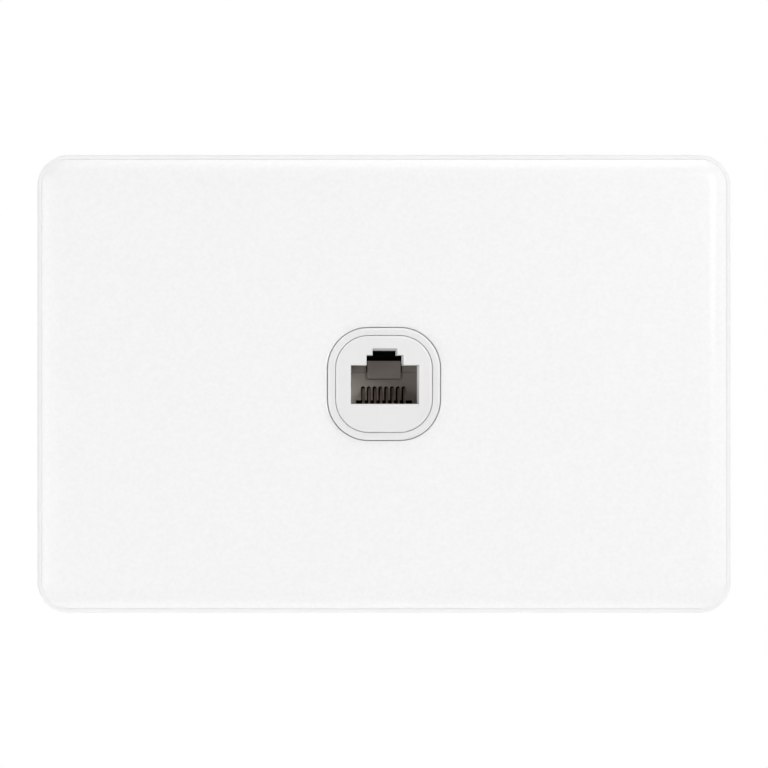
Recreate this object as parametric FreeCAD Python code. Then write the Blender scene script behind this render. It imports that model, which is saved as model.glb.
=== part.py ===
import FreeCAD, Part
import math
import os

from FreeCAD import Vector

# A single-gang wall plate with one eight-way modular jack for telephone or data.
# Millimetres. X runs to the right, Y into the wall, Z up.
# The origin is on the wall, midway between the two fixing screws.

# Wall frame
PLATE_WIDTH = 118.0
PLATE_HEIGHT = 78.0
PLATE_CORNER = 5.3
SIDE_WALL = 1.8
WEB = 2.0
LIP_ROUND = 0.5
LIP_LAND = 0.3
CREST_SET = 0.05
RIB = 1.2
RIB_SETBACK = 0.5
RIB_COLUMN = 25.0
RIB_ROW = 17.0
PRY_WIDTH = 8.0
PRY_HEIGHT = 0.7

# Clip-on cover
PLATE_DEPTH = 8.0
SKIN = 1.6
COVER_ROOM = 1.2
COVER_WALL = 2.4
COVER_GAP = 0.1
ROLL_WIDTH = 3.3
ROLL_DROP = 1.2
APERTURE_GAP = 0.12
APERTURE_EDGE = 0.15
LUG_WIDTH = 7.0
LUG_THICKNESS = 1.5
LUG_SPACING = 68.0
LUG_INSET = 6.0
LUG_TAIL = 1.0
LUG_TAPER = 0.4
LUG_FIT = 0.08

# Fixing screws
SCREW_SPACING = 84.0
SCREW_LENGTH = 25.0
THREAD_RADIUS = 1.75
NECK_RADIUS = 1.5
HEAD_RADIUS = 3.4
HEAD_HEIGHT = 2.2
HEAD_EDGE = 0.9
HEAD_SINK = 0.4
HEAD_ROOM = 0.7
CROSS_WIDTH = 1.0
CROSS_SPAN = 3.8
CROSS_DEPTH = 1.3
WELL_WALL = 1.2
WELL_FLOOR = 1.6
SLOT_ROOM = 0.3
SLOT_TRAVEL = 2.6

# Mechanism ring and its sleeve
RING = 19.0
RING_CORNER = 6.9
RING_PROUD = 0.6
RING_OUTER_EDGE = 0.3
RING_INNER_EDGE = 0.15
FLANGE = 24.0
FLANGE_CORNER = 1.8
FLANGE_GAP = 0.2
SHOULDER_WEB = 0.6
SLEEVE_WALL = 1.2
SLEEVE_TAIL = 8.2
SLEEVE_FIT = 0.15
SLEEVE_CORNER = 0.5
NEST_FIT = 0.1
BARB = 0.8
BARB_WIDTH = 7.0
BARB_LENGTH = 3.0
SLIT = 0.8
CATCH = 0.7
CATCH_WIDTH = 4.0
CATCH_LENGTH = 2.4
CATCH_ROOM = 0.3
CATCH_SETBACK = 2.4

# Jack face and its port
FACE = 16.3
FACE_GAP = 0.1
FACE_PROUD = 0.25
FACE_EDGE = 0.3
CARRIER_WALL = 1.1
CARRIER_SHORT = 0.5
PORT_WIDTH = 11.7
PORT_HEIGHT = 6.5
PORT_FLOOR = -3.25
TAB_WIDTH = 6.1
TAB_HEIGHT = 1.4
NOTCH_WIDTH = 3.9
NOTCH_HEIGHT = 1.4
LEAD_IN = 0.22
LEAD_DEPTH = 0.8

# Jack housing
JACK_WALL = 1.05
JACK_ROOF = 1.1
JACK_BASE = 1.0
JACK_TAIL = 2.5
PORT_DEPTH = 12.9
CHANNEL_ROOM = 0.2
SEAM_HEIGHT = 5.3
WINDOW_WIDTH = 9.5
WINDOW_LEAD = 1.0

# Spring contacts and their carrier
CONTACT_COUNT = 8
CONTACT_PITCH = 1.02
CONTACT_WIDTH = 0.4
CONTACT_THICKNESS = 0.3
CONTACT_ANGLE = 21.5
CONTACT_DEPTH = 5.5
BEND_RADIUS = 0.5
RUN_DROP = 1.25
RUN_FIT = 0.06
FREE_END = 0.4
COMB_FIT = 0.11
COMB_DROP = 0.3
COMB_DEPTH = 0.8
COMB_ROOM = 0.05
COMB_END = 0.3
NOSE_SETBACK = 1.15
CARRIER_BACK = 1.5
TONGUE_WIDTH = 5.7
TONGUE_HEIGHT = 2.0
TONGUE_PROUD = 0.3
TONGUE_ROOT = 1.0

# Circuit board
BOARD = 1.6
BOARD_MARGIN = 1.2
BOARD_CORNER = 0.7
BOARD_FIT = 0.1
TAIL_ROOM = 0.1

# Rear terminals
ROW_SPACING = 10.8
TERMINALS_PER_ROW = 4
TERMINAL_PITCH = 3.6
TOWER_WIDTH = 4.0
TOWER_HEIGHT = 8.0
TOWER_END = 0.4
BLOCK_BASE = 1.5
WIRE_SLOT = 1.0
WIRE_SLOT_DEPTH = 5.0
WIRE_MOUTH = 2.0
WIRE_MOUTH_DEPTH = 1.1
BLADE_WIDTH = 2.6
BLADE_THICKNESS = 0.4
BLADE_SINK = 1.0
BLADE_SLIT = 0.35
BLADE_SLIT_DEPTH = 4.2
BLADE_MOUTH = 1.1
BLADE_MOUTH_DEPTH = 0.6
BLADE_TAIL = 0.6
BLADE_FIT = 0.06
BLADE_SEAT = 0.8
ARM_WIDTH = 6.0
ARM_THICKNESS = 1.0
ARM_HOOK = 0.8
HOOK = 0.6
HOOK_LENGTH = 1.2

# Wire caps
CAP_WALL = 0.8
CAP_SKIRT = 4.4
CAP_FIT = 0.1
CAP_CEILING = 0.1
CAP_CORNER = 0.5
CAP_EDGE = 0.3
CAP_NOTCH = 1.4
CAP_NOTCH_DEPTH = 2.8
CAP_PUSHER = 0.6
CAP_PUSHER_FIT = 0.1

# Depths along Y, from the front to the back
COVER_FRONT = -PLATE_DEPTH
COVER_INSIDE = COVER_FRONT + SKIN
LEDGE = COVER_INSIDE + COVER_ROOM
WEB_REAR = LEDGE + WEB
RIM_CREST = COVER_FRONT + ROLL_DROP + CREST_SET
RING_FRONT = COVER_FRONT - RING_PROUD
FACE_FRONT = RING_FRONT - FACE_PROUD
FLANGE_FRONT = COVER_INSIDE + FLANGE_GAP
SHOULDER = FLANGE_FRONT + SHOULDER_WEB
SLEEVE_REAR = WEB_REAR + SLEEVE_TAIL
CATCH_END = SLEEVE_REAR - CATCH_SETBACK
CARRIER_REAR = SLEEVE_REAR - CARRIER_SHORT
JACK_REAR = SLEEVE_REAR + JACK_TAIL
PORT_BACK = FACE_FRONT + PORT_DEPTH
BOARD_REAR = JACK_REAR + BOARD
BASE_REAR = BOARD_REAR + BLOCK_BASE
TOWER_REAR = BASE_REAR + TOWER_HEIGHT
HEAD_SEAT = LEDGE + HEAD_SINK + HEAD_HEIGHT
WELL_REAR = HEAD_SEAT + WELL_FLOOR
PAST = 1.0  # how far a cutter runs past the faces it opens

# Outlines in X and Z
LIP = LIP_ROUND + LIP_LAND
COVER_INSET = LIP + COVER_GAP
FACE_OPENING = FACE + 2 * FACE_GAP
FACE_OPENING_CORNER = RING_CORNER - (RING - FACE_OPENING) / 2
PORT_TOP = PORT_FLOOR + PORT_HEIGHT
TAB_TOP = PORT_TOP + TAB_HEIGHT
NOTCH_TOP = TAB_TOP + NOTCH_HEIGHT
SEAM = PORT_FLOOR + SEAM_HEIGHT
RUN_Z = PORT_FLOOR - RUN_DROP
CHAMBER_FLOOR = RUN_Z - CONTACT_THICKNESS / 2 - NEST_FIT
JACK_HALF = PORT_WIDTH / 2 + JACK_WALL
JACK_TOP = NOTCH_TOP + JACK_ROOF
JACK_BOTTOM = CHAMBER_FLOOR - JACK_BASE
JACK_MID = (JACK_TOP + JACK_BOTTOM) / 2

# The jack's rectangle grows outwards through the parts that nest round it
CARRIER_IN = NEST_FIT
CARRIER_OUT = CARRIER_IN + CARRIER_WALL
SLEEVE_IN = CARRIER_OUT + NEST_FIT
SLEEVE_OUT = SLEEVE_IN + SLEEVE_WALL

# Where the terminal block's arms hook on to the jack
HOOK_REAR = JACK_REAR - HOOK_LENGTH
HOOK_GAP = HOOK + NEST_FIT

# Spring line of a contact, in Y and Z
TILT = math.radians(CONTACT_ANGLE)
BEND_Y = FACE_FRONT + CONTACT_DEPTH + BEND_RADIUS + CONTACT_THICKNESS / 2
BEND_Z = RUN_Z + BEND_RADIUS
ARM_Y = BEND_Y - BEND_RADIUS * math.sin(TILT)
ARM_Z = BEND_Z + BEND_RADIUS * math.cos(TILT)


def arm_height(y):
    """Height of the sloping spring line at depth y."""
    return ARM_Z + (y - ARM_Y) * math.tan(TILT)


def block(x0, x1, y0, y1, z0, z1):
    """Box between two corners."""
    return Part.makeBox(x1 - x0, y1 - y0, z1 - z0, Vector(x0, y0, z0))


def rounded_slab(width, height, corner, y0, y1, x=0.0, z=0.0):
    """Plate of a round-cornered rectangle, from depth y0 to y1, centred on x and z."""
    w, h = width / 2, height / 2
    c, d = w - corner, h - corner
    slant = corner * math.sqrt(0.5)
    turns = [(c, d, 1, 1), (-c, d, -1, 1), (-c, -d, -1, -1), (c, -d, 1, -1)]
    edges = []
    arcs = []
    for cx, cz, sx, sz in turns:
        side = Vector(x + cx + sx * corner, y0, z + cz)
        middle = Vector(x + cx + sx * slant, y0, z + cz + sz * slant)
        end = Vector(x + cx, y0, z + cz + sz * corner)
        arcs.append((side, middle, end) if sx * sz > 0 else (end, middle, side))
    for here, ahead in zip(arcs, arcs[1:] + arcs[:1]):
        edges.append(Part.Arc(*here).toShape())
        if (ahead[0] - here[2]).Length > 1e-6:
            edges.append(Part.LineSegment(here[2], ahead[0]).toShape())
    return Part.Face(Part.Wire(edges)).extrude(Vector(0, y1 - y0, 0))


def cut_corner_slab(width, height, corner, y0, y1, x=0.0, z=0.0):
    """Plate of a rectangle with its corners cut off, from depth y0 to y1, centred on x and z."""
    w, h = width / 2, height / 2
    half = [(w - corner, -h), (w, -h + corner), (w, h - corner), (w - corner, h)]
    outline = half + [(-a, b) for a, b in reversed(half)]
    wire = Part.makePolygon([Vector(x + a, y0, z + b) for a, b in outline + outline[:1]])
    return Part.Face(wire).extrude(Vector(0, y1 - y0, 0))


def jack_slab(grow, y0, y1, corner=0.0):
    """Plate of the jack's own rectangle grown all round, from depth y0 to y1."""
    width = 2 * (JACK_HALF + grow)
    height = JACK_TOP - JACK_BOTTOM + 2 * grow
    if corner:
        return cut_corner_slab(width, height, corner, y0, y1, z=JACK_MID)
    return block(-width / 2, width / 2, y0, y1, JACK_MID - height / 2, JACK_MID + height / 2)


def side_profile(points, x0, x1):
    """Prism of a Y-Z outline between two values of X."""
    wire = Part.makePolygon([Vector(x0, y, z) for y, z in points + points[:1]])
    return Part.Face(wire).extrude(Vector(x1 - x0, 0, 0))


def top_profile(points, z0, z1):
    """Prism of an X-Y outline between two heights."""
    wire = Part.makePolygon([Vector(x, y, z0) for x, y in points + points[:1]])
    return Part.Face(wire).extrude(Vector(0, 0, z1 - z0))


def edges_within(shape, y, half_x, half_z):
    """Edges in the plane at depth y that stay inside a rectangle about the centre."""
    slack = 1e-4
    found = []
    for edge in shape.Edges:
        box = edge.BoundBox
        flat = abs(box.YMin - y) < slack and abs(box.YMax - y) < slack
        across = max(-box.XMin, box.XMax) < half_x + slack
        if flat and across and max(-box.ZMin, box.ZMax) < half_z + slack:
            found.append(edge)
    return found


def mirrored(shape):
    """The shape and its mirror image across X = 0."""
    return [shape, shape.mirror(Vector(0, 0, 0), Vector(1, 0, 0))]


def obround(radius, travel, x, y0, y1):
    """Slot-shaped plug, long along X, centred on x at Z = 0."""
    return rounded_slab(2 * radius + travel, 2 * radius, radius, y0, y1, x=x)


def screw_places():
    """X of each fixing screw."""
    return [-SCREW_SPACING / 2, SCREW_SPACING / 2]


def lug_places():
    """Centres of the cover's four push-in lugs."""
    x = LUG_SPACING / 2
    z = PLATE_HEIGHT / 2 - LUG_INSET
    return [(sx * x, sz * z) for sx in (-1, 1) for sz in (-1, 1)]


def contact_places():
    """X of each contact, from left to right."""
    first = -CONTACT_PITCH * (CONTACT_COUNT - 1) / 2
    return [first + i * CONTACT_PITCH for i in range(CONTACT_COUNT)]


def terminal_places():
    """X and Z of each wire terminal, down the left row and then the right row."""
    top = JACK_MID + TERMINAL_PITCH * (TERMINALS_PER_ROW - 1) / 2
    heights = [top - i * TERMINAL_PITCH for i in range(TERMINALS_PER_ROW)]
    return [(sx * ROW_SPACING / 2, z) for sx in (-1, 1) for z in heights]


def grid_plate():
    """Wall frame: a shallow tray for the cover in front, hollow and ribbed behind."""
    frame = rounded_slab(PLATE_WIDTH, PLATE_HEIGHT, PLATE_CORNER, RIM_CREST, 0)
    frame = frame.makeFillet(
        LIP_ROUND, edges_within(frame, RIM_CREST, PLATE_WIDTH / 2, PLATE_HEIGHT / 2)
    )
    tray_width = PLATE_WIDTH - 2 * LIP
    tray_height = PLATE_HEIGHT - 2 * LIP
    tray = rounded_slab(tray_width, tray_height, PLATE_CORNER - LIP, RIM_CREST - PAST, LEDGE)
    frame = frame.cut(tray)

    # hollow back, with ribs that stop short of the wall
    inner_width = PLATE_WIDTH - 2 * SIDE_WALL
    inner_height = PLATE_HEIGHT - 2 * SIDE_WALL
    inner_corner = PLATE_CORNER - SIDE_WALL
    frame = frame.cut(
        rounded_slab(inner_width, inner_height, inner_corner, WEB_REAR, PAST)
    )
    ribs = []
    for side in (-1, 1):
        column = side * RIB_COLUMN
        row = side * RIB_ROW
        ribs.append(block(column - RIB / 2, column + RIB / 2, WEB_REAR, -RIB_SETBACK,
                          -PLATE_HEIGHT / 2, PLATE_HEIGHT / 2))
        ribs.append(block(-PLATE_WIDTH / 2, PLATE_WIDTH / 2, WEB_REAR, -RIB_SETBACK,
                          row - RIB / 2, row + RIB / 2))
    for x in screw_places():
        near, far = sorted([math.copysign(RIB_COLUMN, x), math.copysign(PLATE_WIDTH / 2, x)])
        ribs.append(block(near, far, WEB_REAR, WELL_REAR, -RIB / 2, RIB / 2))
        ribs.append(block(x - RIB / 2, x + RIB / 2, WEB_REAR, WELL_REAR, -RIB_ROW, RIB_ROW))
        ribs.append(obround(HEAD_RADIUS + HEAD_ROOM + WELL_WALL, SLOT_TRAVEL, x,
                            WEB_REAR, WELL_REAR))
    room = rounded_slab(PLATE_WIDTH - SIDE_WALL, PLATE_HEIGHT - SIDE_WALL,
                        PLATE_CORNER - SIDE_WALL / 2, LEDGE, PAST)
    frame = frame.fuse([rib.common(room) for rib in ribs]).removeSplitter()

    # sunk wells and levelling slots for the screws
    cutters = []
    for x in screw_places():
        cutters.append(obround(HEAD_RADIUS + HEAD_ROOM, SLOT_TRAVEL, x, LEDGE - PAST, HEAD_SEAT))
        cutters.append(obround(THREAD_RADIUS + SLOT_ROOM, SLOT_TRAVEL, x, LEDGE, PAST))
    # opening for the mechanism, sockets for the cover's lugs and a slot to lever the cover off
    cutters.append(jack_slab(SLEEVE_OUT + SLEEVE_FIT, LEDGE - PAST, PAST, SLEEVE_CORNER))
    for x, z in lug_places():
        half_width = LUG_WIDTH / 2 + LUG_FIT
        half_thick = LUG_THICKNESS / 2 + LUG_FIT
        cutters.append(block(x - half_width, x + half_width, LEDGE - PAST, PAST,
                             z - half_thick, z + half_thick))
    cutters.append(block(-PRY_WIDTH / 2, PRY_WIDTH / 2, LEDGE - PRY_HEIGHT, LEDGE,
                         -PLATE_HEIGHT / 2 - PAST, -PLATE_HEIGHT / 2 + LIP + PAST))
    return frame.cut(cutters)


def cover_lug(x, z):
    """Blade behind the cover that pushes into a socket of the wall frame, tapered at its tip."""
    half = LUG_THICKNESS / 2
    tip = WEB_REAR + LUG_TAIL
    points = [
        (COVER_INSIDE - SKIN / 2, z - half),
        (WEB_REAR, z - half),
        (tip, z - half + LUG_TAPER),
        (tip, z + half - LUG_TAPER),
        (WEB_REAR, z + half),
        (COVER_INSIDE - SKIN / 2, z + half),
    ]
    return side_profile(points, x - LUG_WIDTH / 2, x + LUG_WIDTH / 2)


def cover_plate():
    """Clip-on cover: a thin tray whose edge rolls away on one arc, open round the mechanism."""
    radius = (ROLL_WIDTH ** 2 + ROLL_DROP ** 2) / (2 * ROLL_DROP)
    width = PLATE_WIDTH - 2 * COVER_INSET
    height = PLATE_HEIGHT - 2 * COVER_INSET
    corner = PLATE_CORNER - COVER_INSET

    # the arc would run on past the edge, so it is rolled on a wider blank and trimmed
    over = radius - ROLL_WIDTH
    blank = rounded_slab(width + 2 * over, height + 2 * over, corner + over,
                         COVER_FRONT, COVER_FRONT + radius + PAST)
    blank = blank.makeFillet(radius, edges_within(blank, COVER_FRONT, PLATE_WIDTH, PLATE_HEIGHT))
    cover = blank.common(rounded_slab(width, height, corner, COVER_FRONT - PAST, LEDGE))

    inside = rounded_slab(width - 2 * COVER_WALL, height - 2 * COVER_WALL,
                          max(corner - COVER_WALL, COVER_WALL / 2), COVER_INSIDE, LEDGE + PAST)
    aperture = RING + 2 * APERTURE_GAP
    hole = rounded_slab(aperture, aperture, RING_CORNER + APERTURE_GAP, COVER_FRONT - PAST, LEDGE)
    cover = cover.cut([inside, hole])
    cover = cover.makeChamfer(
        APERTURE_EDGE, edges_within(cover, COVER_FRONT, aperture / 2, aperture / 2)
    )
    return cover.fuse([cover_lug(x, z) for x, z in lug_places()]).removeSplitter()


def fixing_screw(x):
    """Pan-head screw with a waisted neck inside the frame and its thread behind the wall plane."""
    tip = HEAD_SEAT + SCREW_LENGTH
    top = HEAD_SEAT - HEAD_HEIGHT
    half_outline = [
        (0, top),
        (HEAD_RADIUS - HEAD_EDGE, top),
        (HEAD_RADIUS, top + HEAD_EDGE),
        (HEAD_RADIUS, HEAD_SEAT),
        (NECK_RADIUS, HEAD_SEAT),
        (NECK_RADIUS, 0),
        (THREAD_RADIUS, 0),
        (THREAD_RADIUS, tip),
        (0, tip),
        (0, top),
    ]
    outline = Part.Face(Part.makePolygon([Vector(r, y, 0) for r, y in half_outline]))
    screw = outline.revolve(Vector(0, 0, 0), Vector(0, 1, 0), 360)
    half_span = CROSS_SPAN / 2
    half_width = CROSS_WIDTH / 2
    floor = top + CROSS_DEPTH
    screw = screw.cut([
        block(-half_span, half_span, top - PAST, floor, -half_width, half_width),
        block(-half_width, half_width, top - PAST, floor, -half_span, half_span),
    ])
    screw.translate(Vector(x, 0, 0))
    return screw


def mounting_screws():
    """The two fixing screws."""
    return Part.makeCompound([fixing_screw(x) for x in screw_places()])


def carrier_catch():
    """Ramped catch on the right-hand wall of the carrier's box, steep at its rear."""
    side = JACK_HALF + CARRIER_OUT
    root = side - CARRIER_WALL / 2
    ramp = CATCH_END - CATCH_LENGTH
    points = [(root, ramp), (side, ramp), (side + CATCH, CATCH_END), (root, CATCH_END)]
    return top_profile(points, JACK_MID - CATCH_WIDTH / 2, JACK_MID + CATCH_WIDTH / 2)


def mechanism_bezel():
    """Rounded-square ring on a flange, with a sleeve behind that snaps through the wall frame."""
    ring = rounded_slab(RING, RING, RING_CORNER, RING_FRONT, LEDGE)
    ring = ring.makeChamfer(RING_OUTER_EDGE, edges_within(ring, RING_FRONT, RING, RING))
    flange = cut_corner_slab(FLANGE, FLANGE, FLANGE_CORNER, FLANGE_FRONT, LEDGE)
    sleeve = jack_slab(SLEEVE_OUT, FLANGE_FRONT, SLEEVE_REAR, SLEEVE_CORNER)

    # barbs on springy tongues behind the frame, above and below
    half = BARB_WIDTH / 2
    barb_front = WEB_REAR + NEST_FIT
    barbs = []
    slits = []
    for face, way in ((JACK_TOP + SLEEVE_OUT, 1), (JACK_BOTTOM - SLEEVE_OUT, -1)):
        root = face - way * SLEEVE_WALL / 2
        barb_rear = barb_front + BARB_LENGTH
        points = [(barb_front, root), (barb_front, face + way * BARB),
                  (barb_rear, face), (barb_rear, root)]
        barbs.append(side_profile(points, -half, half))
        low = min(face - way * (SLEEVE_WALL + NEST_FIT), face + way * PAST)
        high = max(face - way * (SLEEVE_WALL + NEST_FIT), face + way * PAST)
        slits += mirrored(block(half, half + SLIT, barb_front, SLEEVE_REAR + PAST, low, high))
    bezel = ring.fuse([flange, sleeve] + barbs)

    opening = rounded_slab(FACE_OPENING, FACE_OPENING, FACE_OPENING_CORNER,
                           RING_FRONT - PAST, SHOULDER)
    cavity = jack_slab(SLEEVE_IN, SHOULDER, SLEEVE_REAR + PAST)
    # windows in the sides take the carrier's catches
    half_window = CATCH_WIDTH / 2 + CATCH_ROOM
    windows = mirrored(block(JACK_HALF, JACK_HALF + SLEEVE_OUT + PAST,
                             CATCH_END - CATCH_LENGTH - CATCH_ROOM, CATCH_END + NEST_FIT,
                             JACK_MID - half_window, JACK_MID + half_window))
    bezel = bezel.cut([opening, cavity] + slits + windows).removeSplitter()
    return bezel.makeChamfer(
        RING_INNER_EDGE, edges_within(bezel, RING_FRONT, FACE_OPENING / 2, FACE_OPENING / 2)
    )


def port_wire(grow, y):
    """Stepped outline of the plug port at depth y, grown by the same amount on every side."""
    half = [
        (PORT_WIDTH / 2 + grow, PORT_FLOOR - grow),
        (PORT_WIDTH / 2 + grow, PORT_TOP + grow),
        (TAB_WIDTH / 2 + grow, PORT_TOP + grow),
        (TAB_WIDTH / 2 + grow, TAB_TOP + grow),
        (NOTCH_WIDTH / 2 + grow, TAB_TOP + grow),
        (NOTCH_WIDTH / 2 + grow, NOTCH_TOP + grow),
    ]
    points = half + [(-x, z) for x, z in reversed(half)]
    return Part.makePolygon([Vector(x, y, z) for x, z in points + points[:1]])


def jack_carrier():
    """White face with the plug port, and the box behind it that holds the jack."""
    face = rounded_slab(FACE, FACE, FACE_OPENING_CORNER - FACE_GAP, FACE_FRONT, SHOULDER)
    face = face.makeChamfer(FACE_EDGE, edges_within(face, FACE_FRONT, FACE, FACE))
    box = jack_slab(CARRIER_OUT, SHOULDER, CARRIER_REAR).cut(
        jack_slab(CARRIER_IN, SHOULDER, CARRIER_REAR + PAST)
    )
    # the back of the face closes the front of the box and seats the jack
    carrier = face.fuse([box] + mirrored(carrier_catch()))
    port = Part.Face(port_wire(0, FACE_FRONT - PAST)).extrude(
        Vector(0, SHOULDER - FACE_FRONT + 2 * PAST, 0)
    )
    flare = Part.makeLoft(
        [port_wire(LEAD_IN, FACE_FRONT), port_wire(0, FACE_FRONT + LEAD_DEPTH)], True, True
    )
    half_window = CATCH_WIDTH / 2 + CATCH_ROOM
    window = block(-half_window, half_window, CATCH_END - CATCH_LENGTH - CATCH_ROOM,
                   CATCH_END + NEST_FIT, JACK_TOP, JACK_TOP + CARRIER_OUT + PAST)
    return carrier.cut([port, flare, window]).removeSplitter()


def jack_housing():
    """Grey jack body: port cavity, tab channel and the chamber under the floor for the contacts."""
    body = jack_slab(0, SHOULDER, JACK_REAR)
    half = CATCH_WIDTH / 2
    roof_catch = side_profile(
        [(CATCH_END - CATCH_LENGTH, JACK_TOP - JACK_ROOF / 2), (CATCH_END - CATCH_LENGTH, JACK_TOP),
         (CATCH_END, JACK_TOP + CATCH), (CATCH_END, JACK_TOP - JACK_ROOF / 2)], -half, half
    )
    # side catches for the arms of the terminal block
    rear_catch = top_profile(
        [(JACK_HALF - JACK_WALL / 2, HOOK_REAR + NEST_FIT), (JACK_HALF + HOOK, HOOK_REAR + NEST_FIT),
         (JACK_HALF, JACK_REAR), (JACK_HALF - JACK_WALL / 2, JACK_REAR)],
        JACK_MID - ARM_WIDTH / 2, JACK_MID + ARM_WIDTH / 2
    )
    body = body.fuse([roof_catch] + mirrored(rear_catch))

    half_port = PORT_WIDTH / 2
    half_channel = TAB_WIDTH / 2 + CHANNEL_ROOM
    half_window = WINDOW_WIDTH / 2
    chamber_front = FACE_FRONT + CONTACT_DEPTH - WINDOW_LEAD
    return body.cut([
        block(-half_port, half_port, SHOULDER - PAST, PORT_BACK, PORT_FLOOR, PORT_TOP),
        block(-half_port, half_port, SHOULDER - PAST, JACK_REAR + PAST, PORT_FLOOR, SEAM),
        block(-half_channel, half_channel, SHOULDER - PAST, JACK_REAR + PAST, PORT_FLOOR, NOTCH_TOP),
        block(-half_window, half_window, chamber_front, JACK_REAR + PAST, CHAMBER_FLOOR, PORT_TOP - PAST),
    ]).removeSplitter()


def contact_carrier():
    """Comb that guides the springs: a wedge with eight slots, the port's back wall and a tongue."""
    half_nose = WINDOW_WIDTH / 2 - NEST_FIT
    half_wall = PORT_WIDTH / 2 - NEST_FIT
    bottom = RUN_Z - CONTACT_THICKNESS / 2
    nose = FACE_FRONT + CONTACT_DEPTH + NOSE_SETBACK
    wedge = side_profile(
        [(nose, bottom), (nose, arm_height(nose) - COMB_DROP),
         (PORT_BACK, arm_height(PORT_BACK) - COMB_DROP), (JACK_REAR, arm_height(PORT_BACK) - COMB_DROP),
         (JACK_REAR, bottom)], -half_nose, half_nose
    )
    wall_floor = PORT_FLOOR + NEST_FIT
    wall_rear = PORT_BACK + CARRIER_BACK
    wall = block(-half_wall, half_wall, PORT_BACK, wall_rear, wall_floor, SEAM - NEST_FIT)
    tongue = block(-TONGUE_WIDTH / 2, TONGUE_WIDTH / 2, PORT_BACK - TONGUE_PROUD, wall_rear,
                   SEAM - NEST_FIT - TONGUE_ROOT, SEAM + TONGUE_HEIGHT)
    carrier = wedge.fuse([wall, tongue])

    half_slot = CONTACT_WIDTH / 2 + COMB_FIT
    half_groove = CONTACT_WIDTH / 2 + RUN_FIT
    slot_rear = PORT_BACK + FREE_END + COMB_END
    spring = arm_height(PORT_BACK + FREE_END) + CONTACT_THICKNESS / 2 + COMB_ROOM
    arch = spring + half_slot
    cutters = []
    for x in contact_places():
        # a sloping slot for the spring, closed by an arch in the back wall
        cutters.append(side_profile(
            [(nose - PAST, arm_height(nose - PAST) - COMB_DEPTH),
             (slot_rear, arm_height(slot_rear) - COMB_DEPTH), (slot_rear, spring),
             (nose - PAST, spring)], x - half_slot, x + half_slot
        ))
        crown = [(x - half_slot, spring), (x - half_slot / 2, arch), (x + half_slot / 2, arch),
                 (x + half_slot, spring), (x - half_slot, spring)]
        crown_wire = Part.makePolygon([Vector(a, nose, b) for a, b in crown])
        cutters.append(Part.Face(crown_wire).extrude(Vector(0, slot_rear - nose, 0)))
        cutters.append(block(x - half_groove, x + half_groove, nose - PAST, JACK_REAR + PAST,
                             bottom - PAST, RUN_Z + CONTACT_THICKNESS / 2 + RUN_FIT))
    return carrier.cut(cutters).removeSplitter()


def contact(x):
    """Spring contact: soldered tail, run under the floor, tight return bend and sloping free arm."""
    half = CONTACT_THICKNESS / 2
    tail = BOARD_REAR - BOARD_FIT
    tip_y = PORT_BACK + FREE_END
    tip_z = arm_height(tip_y)
    across = Vector(0, -math.sin(TILT), math.cos(TILT))
    left = x - CONTACT_WIDTH / 2
    middle_angle = math.pi + TILT / 2

    def bend_point(radius, angle):
        return Vector(left, BEND_Y + radius * math.cos(angle), BEND_Z + radius * math.sin(angle))

    tip = Vector(left, tip_y, tip_z)
    edges = []
    ends = []
    for way in (1, -1):
        radius = BEND_RADIUS + way * half
        start = bend_point(radius, -math.pi / 2)
        finish = bend_point(radius, math.pi / 2 + TILT)
        tail_point = Vector(left, tail, RUN_Z - way * half)
        tip_point = tip + across * (way * half)
        edges.append(Part.LineSegment(tail_point, start).toShape())
        edges.append(Part.Arc(start, bend_point(radius, middle_angle), finish).toShape())
        edges.append(Part.LineSegment(finish, tip_point).toShape())
        ends.append((tail_point, tip_point))
    edges += [Part.LineSegment(a, b).toShape() for a, b in zip(*ends)]
    outline = Part.Wire(Part.__sortEdges__(edges))
    return Part.Face(outline).extrude(Vector(CONTACT_WIDTH, 0, 0))


def tail_hole(x, z, width, height):
    """Cutter for a plated slot of the board, a little larger than the tail in it."""
    half_width = width / 2 + TAIL_ROOM
    half_height = height / 2 + TAIL_ROOM
    return block(x - half_width, x + half_width, JACK_REAR - PAST, BOARD_REAR + PAST,
                 z - half_height, z + half_height)


def circuit_board():
    """Board behind the jack, with a hole for each tail and notches for the terminal block's arms."""
    board = jack_slab(BOARD_MARGIN, JACK_REAR, BOARD_REAR, BOARD_CORNER)
    holes = [tail_hole(x, RUN_Z, CONTACT_WIDTH, CONTACT_THICKNESS) for x in contact_places()]
    holes += [tail_hole(x, z, BLADE_THICKNESS, BLADE_TAIL) for x, z in terminal_places()]
    half_notch = ARM_WIDTH / 2 + BOARD_FIT
    notch = block(JACK_HALF + HOOK_GAP - BOARD_FIT, JACK_HALF + BOARD_MARGIN + PAST,
                  JACK_REAR - PAST, BOARD_REAR + PAST, JACK_MID - half_notch, JACK_MID + half_notch)
    return board.cut(holes + mirrored(notch))


def tower_length():
    """Height of a row of terminals."""
    return TERMINALS_PER_ROW * TERMINAL_PITCH + 2 * TOWER_END


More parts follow.
